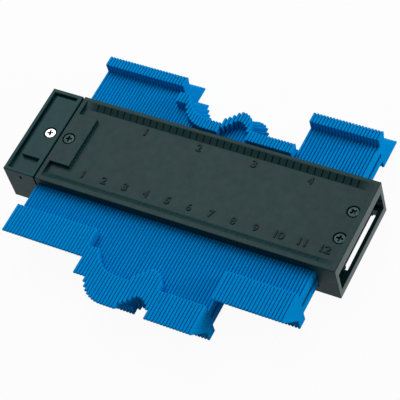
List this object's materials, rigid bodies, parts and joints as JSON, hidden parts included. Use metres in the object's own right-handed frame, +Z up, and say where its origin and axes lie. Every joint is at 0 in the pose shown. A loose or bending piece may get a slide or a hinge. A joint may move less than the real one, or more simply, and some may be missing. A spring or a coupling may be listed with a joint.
{
  "type": "contour gauge",
  "caption": "Plastic contour gauge: a dark two-shell body with an end cap round a row of thin blue blades that slide from front to rear and hold the outline pressed into them.",
  "frame": {"origin": "on the body's underside, midway between its front and rear faces and 0.1 mm right of midway between its two ends", "axes": "+X along the body from the end cap to the open end, +Y to the rear (the inch scale side), +Z up out of the face with the scales"},
  "size_m": [0.1528, 0.1215, 0.0194],
  "materials": {
    "body_plastic": "satin, fine moulded grain",
    "cap_plastic": "satin, fine moulded grain",
    "guide_plastic": "smooth",
    "blade_plastic": "semi-gloss, moulded",
    "bright_steel": "bright zinc",
    "black_steel": "black, slightly worn"
  },
  "bodies": {
    "body": {"body_top_shell": "body_plastic", "body_bottom_shell": "body_plastic", "clamp_block": "body_plastic", "end_cap": "cap_plastic", "guide_bar": "guide_plastic", "cap_screw": "bright_steel", "platform_screw": "black_steel", "front_screw": "black_steel", "rear_screw": "black_steel"},
    "blade_pair_01": {"blade_pair_01": "blade_plastic"},
    "blade_pair_02": {"blade_pair_02": "blade_plastic"},
    "blade_pair_03": {"blade_pair_03": "blade_plastic"},
    "blade_pair_04": {"blade_pair_04": "blade_plastic"},
    "blade_pair_05": {"blade_pair_05": "blade_plastic"},
    "blade_pair_06": {"blade_pair_06": "blade_plastic"},
    "blade_pair_07": {"blade_pair_07": "blade_plastic"},
    "blade_pair_08": {"blade_pair_08": "blade_plastic"},
    "blade_pair_09": {"blade_pair_09": "blade_plastic"},
    "blade_pair_10": {"blade_pair_10": "blade_plastic"},
    "blade_pair_11": {"blade_pair_11": "blade_plastic"},
    "blade_pair_12": {"blade_pair_12": "blade_plastic"},
    "blade_pair_13": {"blade_pair_13": "blade_plastic"},
    "blade_pair_14": {"blade_pair_14": "blade_plastic"},
    "blade_pair_15": {"blade_pair_15": "blade_plastic"},
    "blade_pair_16": {"blade_pair_16": "blade_plastic"},
    "blade_pair_17": {"blade_pair_17": "blade_plastic"},
    "blade_pair_18": {"blade_pair_18": "blade_plastic"},
    "blade_pair_19": {"blade_pair_19": "blade_plastic"},
    "blade_pair_20": {"blade_pair_20": "blade_plastic"},
    "blade_pair_21": {"blade_pair_21": "blade_plastic"},
    "blade_pair_22": {"blade_pair_22": "blade_plastic"},
    "blade_pair_23": {"blade_pair_23": "blade_plastic"},
    "blade_pair_24": {"blade_pair_24": "blade_plastic"},
    "blade_pair_25": {"blade_pair_25": "blade_plastic"},
    "blade_pair_26": {"blade_pair_26": "blade_plastic"},
    "blade_pair_27": {"blade_pair_27": "blade_plastic"},
    "blade_pair_28": {"blade_pair_28": "blade_plastic"},
    "blade_pair_29": {"blade_pair_29": "blade_plastic"},
    "blade_pair_30": {"blade_pair_30": "blade_plastic"},
    "blade_pair_31": {"blade_pair_31": "blade_plastic"},
    "blade_pair_32": {"blade_pair_32": "blade_plastic"},
    "blade_pair_33": {"blade_pair_33": "blade_plastic"},
    "blade_pair_34": {"blade_pair_34": "blade_plastic"},
    "blade_pair_35": {"blade_pair_35": "blade_plastic"},
    "blade_pair_36": {"blade_pair_36": "blade_plastic"},
    "blade_pair_37": {"blade_pair_37": "blade_plastic"},
    "blade_pair_38": {"blade_pair_38": "blade_plastic"},
    "blade_pair_39": {"blade_pair_39": "blade_plastic"},
    "blade_pair_40": {"blade_pair_40": "blade_plastic"},
    "blade_pair_41": {"blade_pair_41": "blade_plastic"},
    "blade_pair_42": {"blade_pair_42": "blade_plastic"},
    "blade_pair_43": {"blade_pair_43": "blade_plastic"},
    "blade_pair_44": {"blade_pair_44": "blade_plastic"},
    "blade_pair_45": {"blade_pair_45": "blade_plastic"}
  },
  "joints": [
    {"name": "blade_pair_01_slide", "type": "slide", "parent": "body", "child": "blade_pair_01", "axis": [0, 1, 0], "range_m": [-0.0185, 0.0133]},
    {"name": "blade_pair_02_slide", "type": "slide", "parent": "body", "child": "blade_pair_02", "axis": [0, 1, 0], "range_m": [-0.0185, 0.0133]},
    {"name": "blade_pair_03_slide", "type": "slide", "parent": "body", "child": "blade_pair_03", "axis": [0, 1, 0], "range_m": [-0.0185, 0.0133]},
    {"name": "blade_pair_04_slide", "type": "slide", "parent": "body", "child": "blade_pair_04", "axis": [0, 1, 0], "range_m": [-0.0185, 0.0133]},
    {"name": "blade_pair_05_slide", "type": "slide", "parent": "body", "child": "blade_pair_05", "axis": [0, 1, 0], "range_m": [-0.0185, 0.0133]},
    {"name": "blade_pair_06_slide", "type": "slide", "parent": "body", "child": "blade_pair_06", "axis": [0, 1, 0], "range_m": [-0.0185, 0.0133]},
    {"name": "blade_pair_07_slide", "type": "slide", "parent": "body", "child": "blade_pair_07", "axis": [0, 1, 0], "range_m": [-0.0185, 0.0133]},
    {"name": "blade_pair_08_slide", "type": "slide", "parent": "body", "child": "blade_pair_08", "axis": [0, 1, 0], "range_m": [-0.0185, 0.0133]},
    {"name": "blade_pair_09_slide", "type": "slide", "parent": "body", "child": "blade_pair_09", "axis": [0, 1, 0], "range_m": [-0.0185, 0.0133]},
    {"name": "blade_pair_10_slide", "type": "slide", "parent": "body", "child": "blade_pair_10", "axis": [0, 1, 0], "range_m": [-0.0185, 0.0133]},
    {"name": "blade_pair_11_slide", "type": "slide", "parent": "body", "child": "blade_pair_11", "axis": [0, 1, 0], "range_m": [-0.0185, 0.0133]},
    {"name": "blade_pair_12_slide", "type": "slide", "parent": "body", "child": "blade_pair_12", "axis": [0, 1, 0], "range_m": [-0.0185, 0.0133]},
    {"name": "blade_pair_13_slide", "type": "slide", "parent": "body", "child": "blade_pair_13", "axis": [0, 1, 0], "range_m": [-0.0185, 0.0133]},
    {"name": "blade_pair_14_slide", "type": "slide", "parent": "body", "child": "blade_pair_14", "axis": [0, 1, 0], "range_m": [-0.0106, 0.0133]},
    {"name": "blade_pair_15_slide", "type": "slide", "parent": "body", "child": "blade_pair_15", "axis": [0, 1, 0], "range_m": [-0.0106, 0.0212]},
    {"name": "blade_pair_16_slide", "type": "slide", "parent": "body", "child": "blade_pair_16", "axis": [0, 1, 0], "range_m": [-0.00828, 0.0212]},
    {"name": "blade_pair_17_slide", "type": "slide", "parent": "body", "child": "blade_pair_17", "axis": [0, 1, 0], "range_m": [-0.00463, 0.02568]},
    {"name": "blade_pair_18_slide", "type": "slide", "parent": "body", "child": "blade_pair_18", "axis": [0, 1, 0], "range_m": [-0.00272, 0.02826]},
    {"name": "blade_pair_19_slide", "type": "slide", "parent": "body", "child": "blade_pair_19", "axis": [0, 1, 0], "range_m": [-0.00172, 0.02967]},
    {"name": "blade_pair_20_slide", "type": "slide", "parent": "body", "child": "blade_pair_20", "axis": [0, 1, 0], "range_m": [-0.0014, 0.03032]},
    {"name": "blade_pair_21_slide", "type": "slide", "parent": "body", "child": "blade_pair_21", "axis": [0, 1, 0], "range_m": [-0.0014, 0.0304]},
    {"name": "blade_pair_22_slide", "type": "slide", "parent": "body", "child": "blade_pair_22", "axis": [0, 1, 0], "range_m": [-0.0014, 0.0304]},
    {"name": "blade_pair_23_slide", "type": "slide", "parent": "body", "child": "blade_pair_23", "axis": [0, 1, 0], "range_m": [-0.00417, 0.02641]},
    {"name": "blade_pair_24_slide", "type": "slide", "parent": "body", "child": "blade_pair_24", "axis": [0, 1, 0], "range_m": [-0.00684, 0.0233]},
    {"name": "blade_pair_25_slide", "type": "slide", "parent": "body", "child": "blade_pair_25", "axis": [0, 1, 0], "range_m": [-0.00925, 0.0224]},
    {"name": "blade_pair_26_slide", "type": "slide", "parent": "body", "child": "blade_pair_26", "axis": [0, 1, 0], "range_m": [-0.00754, 0.02312]},
    {"name": "blade_pair_27_slide", "type": "slide", "parent": "body", "child": "blade_pair_27", "axis": [0, 1, 0], "range_m": [-0.0014, 0.02639]},
    {"name": "blade_pair_28_slide", "type": "slide", "parent": "body", "child": "blade_pair_28", "axis": [0, 1, 0], "range_m": [-0.0014, 0.0304]},
    {"name": "blade_pair_29_slide", "type": "slide", "parent": "body", "child": "blade_pair_29", "axis": [0, 1, 0], "range_m": [-0.0014, 0.0304]},
    {"name": "blade_pair_30_slide", "type": "slide", "parent": "body", "child": "blade_pair_30", "axis": [0, 1, 0], "range_m": [-0.0014, 0.0304]},
    {"name": "blade_pair_31_slide", "type": "slide", "parent": "body", "child": "blade_pair_31", "axis": [0, 1, 0], "range_m": [-0.0014, 0.0304]},
    {"name": "blade_pair_32_slide", "type": "slide", "parent": "body", "child": "blade_pair_32", "axis": [0, 1, 0], "range_m": [-0.0014, 0.0304]},
    {"name": "blade_pair_33_slide", "type": "slide", "parent": "body", "child": "blade_pair_33", "axis": [0, 1, 0], "range_m": [-0.0014, 0.0304]},
    {"name": "blade_pair_34_slide", "type": "slide", "parent": "body", "child": "blade_pair_34", "axis": [0, 1, 0], "range_m": [-0.0014, 0.0304]},
    {"name": "blade_pair_35_slide", "type": "slide", "parent": "body", "child": "blade_pair_35", "axis": [0, 1, 0], "range_m": [-0.0185, 0.0133]},
    {"name": "blade_pair_36_slide", "type": "slide", "parent": "body", "child": "blade_pair_36", "axis": [0, 1, 0], "range_m": [-0.0185, 0.0133]},
    {"name": "blade_pair_37_slide", "type": "slide", "parent": "body", "child": "blade_pair_37", "axis": [0, 1, 0], "range_m": [-0.0185, 0.0133]},
    {"name": "blade_pair_38_slide", "type": "slide", "parent": "body", "child": "blade_pair_38", "axis": [0, 1, 0], "range_m": [-0.0185, 0.0133]},
    {"name": "blade_pair_39_slide", "type": "slide", "parent": "body", "child": "blade_pair_39", "axis": [0, 1, 0], "range_m": [-0.0185, 0.0133]},
    {"name": "blade_pair_40_slide", "type": "slide", "parent": "body", "child": "blade_pair_40", "axis": [0, 1, 0], "range_m": [-0.0185, 0.0133]},
    {"name": "blade_pair_41_slide", "type": "slide", "parent": "body", "child": "blade_pair_41", "axis": [0, 1, 0], "range_m": [-0.0185, 0.0133]},
    {"name": "blade_pair_42_slide", "type": "slide", "parent": "body", "child": "blade_pair_42", "axis": [0, 1, 0], "range_m": [-0.0185, 0.0133]},
    {"name": "blade_pair_43_slide", "type": "slide", "parent": "body", "child": "blade_pair_43", "axis": [0, 1, 0], "range_m": [-0.0185, 0.0133]},
    {"name": "blade_pair_44_slide", "type": "slide", "parent": "body", "child": "blade_pair_44", "axis": [0, 1, 0], "range_m": [-0.0185, 0.0133]},
    {"name": "blade_pair_45_slide", "type": "slide", "parent": "body", "child": "blade_pair_45", "axis": [0, 1, 0], "range_m": [-0.0185, 0.0133]}
  ]
}
